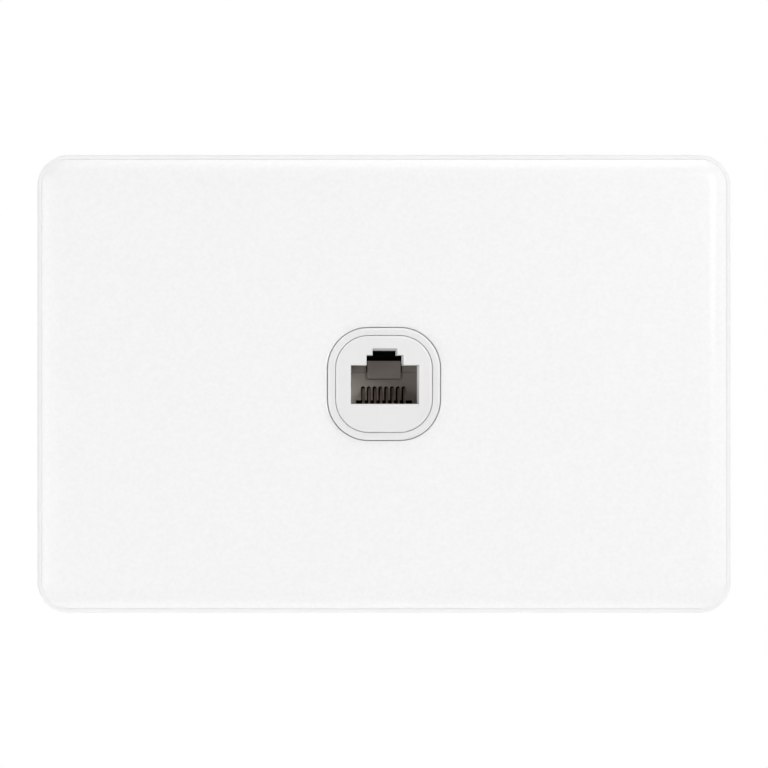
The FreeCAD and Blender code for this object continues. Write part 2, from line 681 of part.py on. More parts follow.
def terminal_block():
    """Rear moulding: a base with two slotted towers, hooked to the jack by a springy arm each side."""
    base = jack_slab(BOARD_MARGIN, BOARD_REAR, BASE_REAR, BOARD_CORNER)
    half_row = tower_length() / 2
    centre = ROW_SPACING / 2
    tower = block(centre - TOWER_WIDTH / 2, centre + TOWER_WIDTH / 2, BOARD_REAR, TOWER_REAR,
                  JACK_MID - half_row, JACK_MID + half_row)
    inside = JACK_HALF + HOOK_GAP
    outside = inside + ARM_THICKNESS
    arm = top_profile(
        [(outside, BASE_REAR), (outside, HOOK_REAR - ARM_HOOK), (inside, HOOK_REAR - ARM_HOOK),
         (JACK_HALF + NEST_FIT, HOOK_REAR), (inside, HOOK_REAR), (inside, BASE_REAR)],
        JACK_MID - ARM_WIDTH / 2, JACK_MID + ARM_WIDTH / 2
    )
    body = base.fuse(mirrored(tower) + mirrored(arm))

    cutters = []
    for x, z in terminal_places():
        slot = WIRE_SLOT / 2
        mouth = WIRE_MOUTH / 2
        floor = TOWER_REAR - WIRE_SLOT_DEPTH
        neck = TOWER_REAR - WIRE_MOUTH_DEPTH
        points = [(floor, z - slot), (neck, z - slot), (TOWER_REAR, z - mouth),
                  (TOWER_REAR, z + mouth), (neck, z + slot), (floor, z + slot)]
        cutters.append(side_profile(points, x - TOWER_WIDTH, x + TOWER_WIDTH))
        wide = BLADE_WIDTH / 2 + BLADE_FIT
        thick = BLADE_THICKNESS / 2 + BLADE_FIT
        cutters.append(block(x - thick, x + thick, BOARD_REAR + BLADE_SEAT, TOWER_REAR + PAST,
                             z - wide, z + wide))
        narrow = BLADE_TAIL / 2 + BLADE_FIT
        cutters.append(block(x - thick, x + thick, BOARD_REAR - PAST, TOWER_REAR,
                             z - narrow, z + narrow))
    return body.cut(cutters).removeSplitter()


def idc_blade(x, z):
    """Forked blade that cuts into a wire, with a tail for the board."""
    seat = BOARD_REAR + BLADE_SEAT
    top = TOWER_REAR - BLADE_SINK
    wide = BLADE_WIDTH / 2
    tail = BLADE_TAIL / 2
    slit = BLADE_SLIT / 2
    mouth = BLADE_MOUTH / 2
    half = [
        (JACK_REAR + BOARD_FIT, tail),
        (seat, tail),
        (seat, wide),
        (top, wide),
        (top, mouth),
        (top - BLADE_MOUTH_DEPTH, slit),
        (top - BLADE_SLIT_DEPTH, slit),
    ]
    points = [(y, z + h) for y, h in half] + [(y, z - h) for y, h in reversed(half)]
    return side_profile(points, x - BLADE_THICKNESS / 2, x + BLADE_THICKNESS / 2)


def wire_cap(side):
    """Push-on cap over one row of terminals, notched for the wires, with pushers inside."""
    x = side * ROW_SPACING / 2
    width = TOWER_WIDTH + 2 * CAP_FIT
    length = tower_length() + 2 * CAP_FIT
    skirt = TOWER_REAR - CAP_SKIRT
    ceiling = TOWER_REAR + CAP_CEILING
    rear = ceiling + CAP_WALL
    shell = cut_corner_slab(width + 2 * CAP_WALL, length + 2 * CAP_WALL, CAP_CORNER, skirt, rear,
                            x=x, z=JACK_MID)
    shell = shell.makeChamfer(CAP_EDGE, edges_within(shell, rear, ROW_SPACING, ROW_SPACING))
    cutters = [block(x - width / 2, x + width / 2, skirt - PAST, ceiling,
                     JACK_MID - length / 2, JACK_MID + length / 2)]
    pushers = []
    for row_x, z in terminal_places():
        if row_x * side < 0:
            continue
        cutters.append(block(x - width, x + width, skirt - PAST, skirt + CAP_NOTCH_DEPTH,
                             z - CAP_NOTCH / 2, z + CAP_NOTCH / 2))
        half = WIRE_SLOT / 2 - CAP_PUSHER_FIT
        pushers.append(block(x - width / 2, x + width / 2, TOWER_REAR - CAP_PUSHER, ceiling + CAP_WALL / 2,
                             z - half, z + half))
    return shell.cut(cutters).fuse(pushers).removeSplitter()


def build():
    """Every piece by name."""
    pieces = {
        "grid_plate": grid_plate(),
        "cover_plate": cover_plate(),
        "mounting_screws": mounting_screws(),
        "mechanism_bezel": mechanism_bezel(),
        "jack_carrier": jack_carrier(),
        "jack_housing": jack_housing(),
        "contact_carrier": contact_carrier(),
        "circuit_board": circuit_board(),
        "terminal_block": terminal_block(),
        "wire_cap_left": wire_cap(-1),
        "wire_cap_right": wire_cap(1),
    }
    for number, x in enumerate(contact_places(), start=1):
        pieces[f"contact_{number}"] = contact(x)
    for number, (x, z) in enumerate(terminal_places(), start=1):
        pieces[f"idc_blade_{number}"] = idc_blade(x, z)
    return pieces


os.makedirs("parts", exist_ok=True)
for name, shape in build().items():
    shape.exportStep(f"parts/{name}.step")
    print(name, len(shape.Solids), round(shape.Volume, 2), shape.isValid())
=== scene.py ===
import math
from contextlib import contextmanager

import bmesh
import bpy
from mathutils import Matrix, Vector


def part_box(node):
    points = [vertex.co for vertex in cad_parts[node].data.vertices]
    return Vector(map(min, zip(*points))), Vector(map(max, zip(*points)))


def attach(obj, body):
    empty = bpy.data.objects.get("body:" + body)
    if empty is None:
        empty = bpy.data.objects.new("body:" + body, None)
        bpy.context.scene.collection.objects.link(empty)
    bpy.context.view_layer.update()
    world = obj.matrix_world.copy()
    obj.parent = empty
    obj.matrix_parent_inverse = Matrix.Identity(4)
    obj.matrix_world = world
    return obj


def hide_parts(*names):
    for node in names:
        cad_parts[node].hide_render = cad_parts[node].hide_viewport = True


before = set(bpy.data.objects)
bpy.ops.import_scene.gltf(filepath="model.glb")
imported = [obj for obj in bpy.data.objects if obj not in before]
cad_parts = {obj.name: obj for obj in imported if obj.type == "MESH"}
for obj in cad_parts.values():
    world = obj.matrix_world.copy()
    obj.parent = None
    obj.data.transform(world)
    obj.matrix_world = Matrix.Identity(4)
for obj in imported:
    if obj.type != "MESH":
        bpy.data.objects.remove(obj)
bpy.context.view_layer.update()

mm = 0.001  # pieces are shaped in millimetres and brought to the frame's metres when done
past = 1.0  # how far a cutter runs beyond what it cuts
near = 1e-4  # points closer than this are one point
toe = 0.25  # height left at the thin end of a catch
square = 0.99  # how closely a face or an edge has to follow an axis
smoothAngle = 40  # edges flatter than this, in degrees, are shaded smooth
flatAngle = 0.1  # faces that meet at less than this, in degrees, become one
chamfer = 1  # a rounding with one step
grainGloss = 0.06  # how far the grain varies a plastic's roughness
print("frame loaded:", len(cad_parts), "nodes")


def nodeBox(node):
    low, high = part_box(node)
    return low / mm, high / mm


def useOn(piece):
    bpy.ops.object.select_all(action="DESELECT")
    piece.select_set(True)
    bpy.context.view_layer.objects.active = piece


@contextmanager
def editing(piece):
    useOn(piece)
    bpy.ops.object.mode_set(mode="EDIT")
    yield
    bpy.ops.object.mode_set(mode="OBJECT")


def pick(piece, kind, wanted):  # kind is verts, edges or faces
    modes = {"verts": "VERT", "edges": "EDGE", "faces": "FACE"}
    bpy.ops.mesh.select_mode(type=modes[kind])
    bpy.ops.mesh.select_all(action="DESELECT")
    mesh = bmesh.from_edit_mesh(piece.data)
    for part in getattr(mesh, kind):
        if wanted(part):
            part.select_set(True)
    mesh.select_flush_mode()
    bmesh.update_edit_mesh(piece.data)


def looks(axis, way):  # faces that look along an axis, forwards or back
    return lambda face: face.normal[axis] * way > square


def runs(axis):  # edges that run along an axis
    def wanted(edge):
        line = edge.verts[1].co - edge.verts[0].co
        return abs(line[axis]) > square * line.length
    return wanted


def push(x=0.0, y=0.0, z=0.0):
    bpy.ops.mesh.extrude_region_move(TRANSFORM_OT_translate={"value": (x, y, z)})


def stepIn(width, rise=0.0):
    bpy.ops.mesh.inset(thickness=width, depth=rise, use_even_offset=True)


def rollIn(radius, width, steps):  # insets the picked face along an arc that ends flat
    start = math.asin(width / radius)
    turns = [start * (1 - step / steps) for step in range(steps + 1)]
    for here, ahead in zip(turns, turns[1:]):
        stepIn(radius * (math.sin(here) - math.sin(ahead)), radius * (math.cos(ahead) - math.cos(here)))


def arcRadius(width, drop):  # of an arc that falls by a drop over a width
    return (width ** 2 + drop ** 2) / (2 * drop)


def boxPiece(name, low, high):
    bpy.ops.object.select_all(action="DESELECT")
    low, high = Vector(low), Vector(high)
    bpy.ops.mesh.primitive_cube_add(size=1, location=(low + high) / 2)
    piece = bpy.context.active_object
    piece.name = name
    piece.scale = high - low
    bpy.ops.object.transform_apply(location=True, rotation=False, scale=True)
    return piece


def roundEdges(piece, wanted, radius, steps):
    with editing(piece):
        pick(piece, "edges", wanted)
        bpy.ops.mesh.bevel(offset=radius, segments=steps, affect="EDGES", profile=0.5)
        bpy.ops.mesh.select_all(action="SELECT")
        bpy.ops.mesh.remove_doubles(threshold=near)
    return piece


def rounded(piece, corner, steps=12):  # rounds the four edges that run from front to rear
    return roundEdges(piece, runs(1), corner, steps)


def rim(y):  # sharp edges in a plane across the front-to-rear axis
    def wanted(edge):
        return all(abs(v.co.y - y) < near for v in edge.verts) and edge.calc_face_angle(0) > math.pi / 4
    return wanted


def squareSlab(name, size, corner, front, rear, steps=12):  # centred on the mechanism's axis
    half = size / 2
    return rounded(boxPiece(name, (-half, front, -half), (half, rear, half)), corner, steps)


def sloped(piece, wanted, shift):  # moves some corners of a box to make a ramp
    with editing(piece):
        pick(piece, "verts", wanted)
        bpy.ops.transform.translate(value=shift)
    return piece


def tidyMesh(piece):
    with editing(piece):
        bpy.ops.mesh.select_all(action="SELECT")
        bpy.ops.mesh.remove_doubles(threshold=near)
        bpy.ops.mesh.dissolve_limited(angle_limit=math.radians(flatAngle))
        bpy.ops.mesh.select_all(action="SELECT")
        bpy.ops.mesh.normals_make_consistent(inside=False)


def carve(piece, *tools, way="DIFFERENCE"):
    for tool in tools:
        useOn(piece)
        cut = piece.modifiers.new("carve", "BOOLEAN")
        cut.operation = way
        cut.solver = "EXACT"
        cut.object = tool
        bpy.ops.object.modifier_apply(modifier=cut.name)
        bpy.data.objects.remove(tool)
    tidyMesh(piece)
    return piece


def weld(piece, *parts):
    return carve(piece, *parts, way="UNION")


def twin(piece, x=0.0, y=0.0, z=0.0):  # a copy with its own mesh, shifted
    useOn(piece)
    bpy.ops.object.duplicate()
    copy = bpy.context.active_object
    copy.location = (x, y, z)
    bpy.ops.object.transform_apply(location=True, rotation=False, scale=False)
    return copy


def mirrorTwin(piece):  # a copy on the other side of X = 0
    useOn(piece)
    bpy.ops.object.duplicate()
    copy = bpy.context.active_object
    copy.scale = (-1, 1, 1)
    bpy.ops.object.transform_apply(location=False, rotation=False, scale=True)
    with editing(copy):
        bpy.ops.mesh.select_all(action="SELECT")
        bpy.ops.mesh.normals_make_consistent(inside=False)
    return copy


def softenEdges(piece, width, steps=2, angle=38, clamp=True):
    tidyMesh(piece)
    useOn(piece)
    soften = piece.modifiers.new("soften", "BEVEL")
    soften.width = width
    soften.segments = steps
    soften.limit_method = "ANGLE"
    soften.angle_limit = math.radians(angle)
    soften.use_clamp_overlap = clamp
    bpy.ops.object.modifier_apply(modifier=soften.name)
    return piece


def settle(piece, body, slot, paint, *nodes):  # brings a finished piece to the frame and hands it over
    useOn(piece)
    piece.scale = (mm, mm, mm)
    bpy.ops.object.transform_apply(location=False, rotation=False, scale=True)
    bpy.ops.object.shade_smooth_by_angle(angle=math.radians(smoothAngle))
    even = piece.modifiers.new("even", "WEIGHTED_NORMAL")  # keeps the flats flat beside the rounds
    even.keep_sharp = True
    bpy.ops.object.modifier_apply(modifier=even.name)
    piece.data.materials.clear()
    piece.data.materials.append(paint)
    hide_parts(*nodes)
    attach(piece, body)
    print("piece done:", piece.name, len(piece.data.polygons), "faces")
    return piece


def newPaint(name):
    paint = bpy.data.materials.new(name)
    paint.use_nodes = True
    nodes = paint.node_tree.nodes
    place = nodes.new("ShaderNodeTexCoord")
    return paint, nodes, paint.node_tree.links, nodes["Principled BSDF"], place.outputs["Object"]


def speckle(nodes, links, place, size, detail=3.0):  # soft noise, blotches of a size in millimetres
    noise = nodes.new("ShaderNodeTexNoise")
    noise.inputs["Scale"].default_value = 1 / (size * mm)
    noise.inputs["Detail"].default_value = detail
    links.new(place, noise.inputs["Vector"])
    return noise.outputs["Fac"]


def blendTones(nodes, links, amount, dark, light, spread=0.25):
    ramp = nodes.new("ShaderNodeValToRGB")
    ramp.color_ramp.elements[0].position = 0.5 - spread
    ramp.color_ramp.elements[1].position = 0.5 + spread
    ramp.color_ramp.elements[0].color = (*dark, 1)
    ramp.color_ramp.elements[1].color = (*light, 1)
    links.new(amount, ramp.inputs["Fac"])
    return ramp.outputs["Color"]


def toRange(nodes, links, amount, low, high):
    span = nodes.new("ShaderNodeMapRange")
    span.inputs["To Min"].default_value = low
    span.inputs["To Max"].default_value = high
    links.new(amount, span.inputs["Value"])
    return span.outputs["Result"]


def addBump(nodes, links, shader, height, depth, strength):  # bump of a depth in millimetres
    bump = nodes.new("ShaderNodeBump")
    bump.inputs["Distance"].default_value = depth * mm
    bump.inputs["Strength"].default_value = strength
    links.new(height, bump.inputs["Height"])
    links.new(bump.outputs["Normal"], shader.inputs["Normal"])


def mouldedPaint(name, look):  # moulded plastic: blotches of tone, fine spark-eroded grain
    paint, nodes, links, shader, place = newPaint(name)
    drift = speckle(nodes, links, place, look["drift"], detail=2.0)
    grain = speckle(nodes, links, place, look["grain"])
    links.new(blendTones(nodes, links, drift, look["dark"], look["light"]), shader.inputs["Base Color"])
    rough = toRange(nodes, links, grain, look["rough"] - grainGloss, look["rough"] + grainGloss)
    links.new(rough, shader.inputs["Roughness"])
    shader.inputs["IOR"].default_value = look["ior"]
    addBump(nodes, links, shader, grain, look["grainDepth"], look["grainStrength"])
    return paint


def grey(level, warm=0.0):  # a near-neutral tone, a little warm or cool
    return (level * (1 + warm), level, level * (1 - warm))


cover = {
    "corner": 4.4, "cornerSteps": 16, "rollWidth": 3.3, "rollDrop": 1.2, "rollSteps": 16,
    "rear": -5.2, "wall": 2.4, "skin": 1.6, "edge": 0.05, "snug": 0.06,
    "aperture": 19.24, "apertureCorner": 7.02, "apertureRound": 0.2, "apertureSteps": 4,
    "lugX": 34.0, "lugZ": 33.0, "lugWidth": 7.0, "lugThick": 1.5, "lugShoulder": -3.2, "lugTaper": 0.4,
    # its tone is mottled as finely as its grain
    "look": {"dark": grey(0.85), "light": grey(0.89), "drift": 0.6, "grain": 0.32, "rough": 0.33,
             "ior": 1.46, "grainDepth": 0.02, "grainStrength": 0.3},
}


def coverLug(x, z, root, tip):
    half, thick = cover["lugWidth"] / 2, cover["lugThick"] / 2
    lug = boxPiece("lug", (x - half, root, z - thick), (x + half, cover["lugShoulder"], z + thick))
    with editing(lug):
        pick(lug, "faces", looks(1, 1))
        push(y=tip - cover["lugShoulder"])
        bpy.ops.transform.resize(value=(1, 1, 1 - cover["lugTaper"] / thick), center_override=(x, tip, z))
    return lug


def makeCover():
    low, high = nodeBox("cover_plate")
    shoulder = low.y + cover["rollDrop"]
    inside = low.y + cover["skin"]
    rear = cover["rear"]
    snug = cover["snug"]  # the skirt nearly touches the frame's lip
    piece = boxPiece("cover", (low.x - snug, shoulder, low.z - snug), (high.x + snug, rear, high.z + snug))
    rounded(piece, cover["corner"], cover["cornerSteps"])
    with editing(piece):
        pick(piece, "faces", looks(1, -1))
        rollIn(arcRadius(cover["rollWidth"], cover["rollDrop"]), cover["rollWidth"], cover["rollSteps"])
        pick(piece, "faces", looks(1, 1))
        stepIn(cover["wall"])
        push(y=inside - rear)
    carve(piece, squareSlab("hole", cover["aperture"], cover["apertureCorner"], low.y - past, rear,
                            cover["cornerSteps"]))
    roundEdges(piece, rim(low.y), cover["apertureRound"], cover["apertureSteps"])
    root = inside - cover["skin"] / 2
    weld(piece, *[coverLug(x, z, root, high.y) for x in (-cover["lugX"], cover["lugX"])
                  for z in (-cover["lugZ"], cover["lugZ"])])
    softenEdges(piece, cover["edge"])
    settle(piece, "cover", "cover_white", mouldedPaint("coverWhite", cover["look"]), "cover_plate")


wallFrame = {
    "corner": 5.3, "cornerSteps": 16, "lipWidth": 0.78, "lipDrop": 0.5, "lipLand": 0.04, "lipSteps": 10,
    "ledge": -5.2, "webRear": -3.2, "sideWall": 1.8,
    "rib": 1.2, "ribX": 25.0, "ribZ": 17.0, "ribRear": -0.5,
    "screwX": 42.0, "wellRadius": 4.1, "wellWall": 1.2, "wellRear": -1.0, "seat": -2.6,
    "slotRadius": 2.05, "slotTravel": 2.6, "slotSteps": 10,
    "openingX": 9.55, "openingLow": -8.4, "openingHigh": 9.8, "openingCorner": 0.5,
    "socketRoom": 0.08, "pryWidth": 8.0, "pryHeight": 0.7,
    "rearRound": 0.3, "rearSteps": 3, "ribRound": 0.15, "ribSteps": 2,
    "look": {"dark": grey(0.85), "light": grey(0.87), "drift": 11.0, "grain": 0.4, "rough": 0.7,
             "ior": 1.3, "grainDepth": 0.02, "grainStrength": 0.25},
}


def obround(name, radius, travel, x, front, rear):  # slot-shaped plug, long along X
    half = radius + travel / 2
    plug = boxPiece(name, (x - half, front, -radius), (x + half, rear, radius))
    return rounded(plug, radius - near / 4, wallFrame["slotSteps"])  # a hair less than the half width


def makeWallFrame():
    low, high = nodeBox("grid_plate")
    lip, drop = wallFrame["lipWidth"], wallFrame["lipDrop"]
    ledge, web = wallFrame["ledge"], wallFrame["webRear"]
    piece = boxPiece("wallFrame", (low.x, low.y + drop, low.z), high)
    rounded(piece, wallFrame["corner"], wallFrame["cornerSteps"])
    with editing(piece):
        pick(piece, "faces", looks(1, -1))
        rollIn(arcRadius(lip, drop), lip, wallFrame["lipSteps"])
        stepIn(wallFrame["lipLand"])
        push(y=ledge - low.y)
        pick(piece, "faces", looks(1, 1))
        stepIn(wallFrame["sideWall"])
        push(y=web - high.y)
    roundEdges(piece, rim(high.y), wallFrame["rearRound"], wallFrame["rearSteps"])

    # ribs and screw wells behind the web
    endX, endZ = high.x - wallFrame["sideWall"] / 2, high.z - wallFrame["sideWall"] / 2
    front, rear, well = web - past / 2, wallFrame["ribRear"], wallFrame["wellRear"]
    half, ribX, ribZ = wallFrame["rib"] / 2, wallFrame["ribX"], wallFrame["ribZ"]
    screwX, wellRadius, travel = wallFrame["screwX"], wallFrame["wellRadius"], wallFrame["slotTravel"]
    tall, short = [], []
    for side in (-1, 1):
        tall.append(boxPiece("rib", (side * ribX - half, front, -endZ), (side * ribX + half, rear, endZ)))
        tall.append(boxPiece("rib", (-endX, front, side * ribZ - half), (endX, rear, side * ribZ + half)))
        x0, x1 = sorted((side * ribX, side * endX))
        short.append(boxPiece("rib", (x0, front, -half), (x1, well, half)))
        x = side * screwX
        short.append(boxPiece("rib", (x - half, front, -ribZ), (x + half, well, ribZ)))
        short.append(obround("well", wellRadius + wallFrame["wellWall"], travel, x, front, well))
    soft, steps = wallFrame["ribRound"], wallFrame["ribSteps"]
    weld(piece, *[roundEdges(rib, rim(rear), soft, steps) for rib in tall],
         *[roundEdges(rib, rim(well), soft, steps) for rib in short])

    cuts = []
    for x in (-screwX, screwX):
        cuts.append(obround("sink", wellRadius, travel, x, ledge - past, wallFrame["seat"]))
        cuts.append(obround("slot", wallFrame["slotRadius"], travel, x, ledge, past))
    opening = boxPiece("opening", (-wallFrame["openingX"], ledge - past, wallFrame["openingLow"]),
                       (wallFrame["openingX"], past, wallFrame["openingHigh"]))
    cuts.append(rounded(opening, wallFrame["openingCorner"], chamfer))
    halfX = cover["lugWidth"] / 2 + wallFrame["socketRoom"]
    halfZ = cover["lugThick"] / 2 + wallFrame["socketRoom"]
    for x in (-cover["lugX"], cover["lugX"]):
        for z in (-cover["lugZ"], cover["lugZ"]):
            cuts.append(boxPiece("socket", (x - halfX, ledge - past, z - halfZ),
                                 (x + halfX, past, z + halfZ)))
    pry = wallFrame["pryWidth"] / 2
    cuts.append(boxPiece("pry", (-pry, ledge - wallFrame["pryHeight"], low.z - past),
                         (pry, ledge, low.z + lip + wallFrame["lipLand"] + past)))
    carve(piece, *cuts)
    settle(piece, "base", "frame_white", mouldedPaint("frameWhite", wallFrame["look"]), "grid_plate")


jack = {"half": 6.9, "bottom": -5.75, "top": 7.15, "middle": 0.7, "front": -5.6}


def jackBox(name, grow, front, rear):  # the jack's own rectangle, grown all round
    half = jack["half"] + grow
    return boxPiece(name, (-half, front, jack["bottom"] - grow), (half, rear, jack["top"] + grow))


ring = {
    "size": 19.0, "corner": 6.9, "cornerSteps": 18, "outerRound": 0.4, "outerSteps": 6,
    "innerRound": 0.15, "innerSteps": 4, "opening": 16.44, "openingCorner": 5.62,
    "flange": 24.0, "flangeCorner": 1.8, "flangeFront": -6.2, "rear": -5.2,
    "sleeveOut": 2.5, "sleeveIn": 1.56, "sleeveCorner": 0.5, "sleeveFront": -5.9,
    "barbFront": -3.1, "barbLength": 3.0, "barb": 0.8, "barbHalf": 3.5, "slit": 0.8,
    "windowFront": -0.1, "windowRear": 2.7, "windowHalf": 2.3, "edge": 0.1,
    "look": {"dark": grey(0.76), "light": grey(0.79), "drift": 9.0, "grain": 0.3, "rough": 0.38,
             "ior": 1.46, "grainDepth": 0.015, "grainStrength": 0.2},
}


def makeRing():
    low, high = nodeBox("mechanism_bezel")
    turn, steps = ring["outerRound"], ring["cornerSteps"]
    piece = squareSlab("ring", ring["size"], ring["corner"], low.y + turn, ring["rear"], steps)
    with editing(piece):
        pick(piece, "faces", looks(1, -1))
        rollIn(turn, turn, ring["outerSteps"])
    flange = squareSlab("flange", ring["flange"], ring["flangeCorner"], ring["flangeFront"], ring["rear"],
                        chamfer)
    sleeve = jackBox("sleeve", ring["sleeveOut"], ring["sleeveFront"], high.y)
    parts = [flange, rounded(sleeve, ring["sleeveCorner"], chamfer)]
    cuts = [squareSlab("opening", ring["opening"], ring["openingCorner"], low.y - past, jack["front"], steps),
            jackBox("cavity", ring["sleeveIn"], jack["front"], high.y + past)]
    half, slit, out = ring["barbHalf"], ring["slit"], ring["sleeveOut"]
    front, rear = ring["barbFront"], ring["barbFront"] + ring["barbLength"]
    for way, side in ((1, jack["top"] + out), (-1, jack["bottom"] - out)):
        tip = side + way * ring["barb"]
        z0, z1 = sorted((side - way * out / 4, tip))
        barb = boxPiece("barb", (-half, front, z0), (half, rear, z1))
        parts.append(sloped(barb, lambda v: v.co.y > rear - near and abs(v.co.z - tip) < near,
                            (0, 0, -way * (ring["barb"] - toe))))
        z0, z1 = sorted((side - way * ring["sleeveIn"], side + way * past))
        for x in (-half - slit, half):
            cuts.append(boxPiece("slit", (x, front, z0), (x + slit, high.y + past, z1)))
    middle, tall = jack["middle"], ring["windowHalf"]
    window = boxPiece("window", (jack["half"], ring["windowFront"], middle - tall),
                      (jack["half"] + out + past, ring["windowRear"], middle + tall))
    cuts += [mirrorTwin(window), window]
    weld(piece, *parts)
    carve(piece, *cuts)
    roundEdges(piece, rim(low.y), ring["innerRound"], ring["innerSteps"])
    softenEdges(piece, ring["edge"])
    settle(piece, "base", "ring_white", mouldedPaint("ringWhite", ring["look"]), "mechanism_bezel")


face = {
    "size": 16.3, "corner": 5.55, "cornerSteps": 18, "round": 0.35, "roundSteps": 6,
    "boxOut": 1.2, "boxIn": 0.1, "boxRear": 4.5,
    "portHalf": 5.6, "portFloor": -3.38, "portTop": 3.12, "tabHalf": 2.96, "tabTop": 4.82,
    "notchHalf": 1.94, "notchTop": 5.66, "leadDepth": 2.6, "leadSide": 0.36, "leadTop": 0.1,
    "leadNotch": 0.38, "cuff": 0.4, "leadSill": 0.34, "edge": 0.06,
    "catchFront": 0.2, "catchRear": 2.6, "catch": 0.7, "catchHalf": 2.0,
    "look": {"dark": grey(0.755, 0.004), "light": grey(0.785, 0.004), "drift": 8.0, "grain": 0.3,
             "rough": 0.4, "ior": 1.46, "grainDepth": 0.015, "grainStrength": 0.2},
}


def portStep(front, rear, half, low, high, rise, drop):  # one step of the port, flared towards the face
    neck, cuff = front + face["leadDepth"], front + face["cuff"]
    step = boxPiece("step", (-half, neck, low), (half, rear, high))
    for here, ahead, fall in ((neck, cuff, 0), (cuff, front - past, drop * (1 + past / face["cuff"]))):
        with editing(step):
            pick(step, "faces", looks(1, -1))
            push(y=ahead - here)
        share = (here - ahead) / face["leadDepth"]
        sloped(step, lambda v: v.co.y < ahead + near and v.co.x > 0, (face["leadSide"] * share, 0, 0))
        sloped(step, lambda v: v.co.y < ahead + near and v.co.z > low + near, (0, 0, rise * share))
        sloped(step, lambda v: v.co.y < ahead + near and v.co.z < low + near, (0, 0, -fall))
    return step


def portPlug(front, rear):  # the stepped shape of a plug's way in
    top, sill = face["leadTop"], face["leadSill"]
    return weld(portStep(front, rear, face["portHalf"], face["portFloor"], face["portTop"], top, sill),
                portStep(front, rear, face["tabHalf"], 0, face["tabTop"], top, 0),
                portStep(front, rear, face["notchHalf"], 0, face["notchTop"], face["leadNotch"], 0))


def makeFace():
    low, high = nodeBox("jack_carrier")
    turn = face["round"]
    piece = squareSlab("jackFace", face["size"], face["corner"], low.y + turn, jack["front"],
                       face["cornerSteps"])
    with editing(piece):
        pick(piece, "faces", looks(1, -1))
        rollIn(turn, turn, face["roundSteps"])
    side, middle = jack["half"] + face["boxOut"], jack["middle"]
    hook = boxPiece("catch", (side - face["boxOut"] / 2, face["catchFront"], middle - face["catchHalf"]),
                    (side + face["catch"], face["catchRear"], middle + face["catchHalf"]))
    sloped(hook, lambda v: v.co.y < face["catchFront"] + near and v.co.x > side,
           (toe - face["catch"], 0, 0))
    body = jackBox("box", face["boxOut"], jack["front"], face["boxRear"])
    weld(piece, body, mirrorTwin(hook), hook)
    window = boxPiece("window", (-ring["windowHalf"], ring["windowFront"], jack["top"]),
                      (ring["windowHalf"], ring["windowRear"], high.z + past))
    carve(piece, jackBox("inside", face["boxIn"], jack["front"], high.y + past),
          portPlug(low.y, jack["front"] + past), window)
    softenEdges(piece, face["edge"])
    settle(piece, "base", "face_white", mouldedPaint("faceWhite", face["look"]), "jack_carrier")


jackBody = {
    "portHalf": 5.85, "portFloor": -3.55, "portTop": 3.25, "channelHalf": 3.12, "channelTop": 6.05,
    "seam": 2.05, "portBack": 4.05, "windowHalf": 4.75, "windowFront": -4.35,
    "chamberFloor": -4.75, "rearHalf": 5.3, "rearFront": 4.8,
    "root": 0.5, "roofCatch": 0.7, "hook": 0.6, "hookFront": 6.4, "armHalf": 3.0, "edge": 0.08,
    "look": {"dark": grey(0.455, 0.08), "light": grey(0.505, 0.08), "drift": 3.0, "grain": 0.18, "rough": 0.5,
             "ior": 1.45, "grainDepth": 0.012, "grainStrength": 0.25},
}


def makeJackBody(paint):
    low, high = nodeBox("jack_housing")
    piece = jackBox("jackBody", 0, low.y, high.y)
    top, half, middle, root = jack["top"], jack["half"], jack["middle"], jackBody["root"]
    roof = boxPiece("roofCatch", (-face["catchHalf"], face["catchFront"], top - root),
                    (face["catchHalf"], face["catchRear"], high.z))
    sloped(roof, lambda v: v.co.y < face["catchFront"] + near and v.co.z > top,
           (0, 0, toe - jackBody["roofCatch"]))
    hook = boxPiece("hook", (half - root, jackBody["hookFront"], middle - jackBody["armHalf"]),
                    (high.x, high.y, middle + jackBody["armHalf"]))
    sloped(hook, lambda v: v.co.y > high.y - near and v.co.x > half, (toe - jackBody["hook"], 0, 0))
    weld(piece, roof, mirrorTwin(hook), hook)
    port, floor = jackBody["portHalf"], jackBody["portFloor"]
    window, channel, room = jackBody["windowHalf"], jackBody["channelHalf"], jackBody["rearHalf"]
    front, rear, cellar = low.y - past, high.y + past, jackBody["chamberFloor"]
    carve(piece,
          boxPiece("port", (-port, front, floor), (port, jackBody["portBack"], jackBody["portTop"])),
          boxPiece("seam", (-port, front, floor), (port, rear, jackBody["seam"])),
          boxPiece("channel", (-channel, front, floor), (channel, rear, jackBody["channelTop"])),
          boxPiece("chamber", (-window, jackBody["windowFront"], cellar), (window, rear, 0)),
          boxPiece("rearRoom", (-room, jackBody["rearFront"], cellar), (room, rear, 0)))
    softenEdges(piece, jackBody["edge"])
    settle(piece, "base", "jack_grey", paint, "jack_housing")


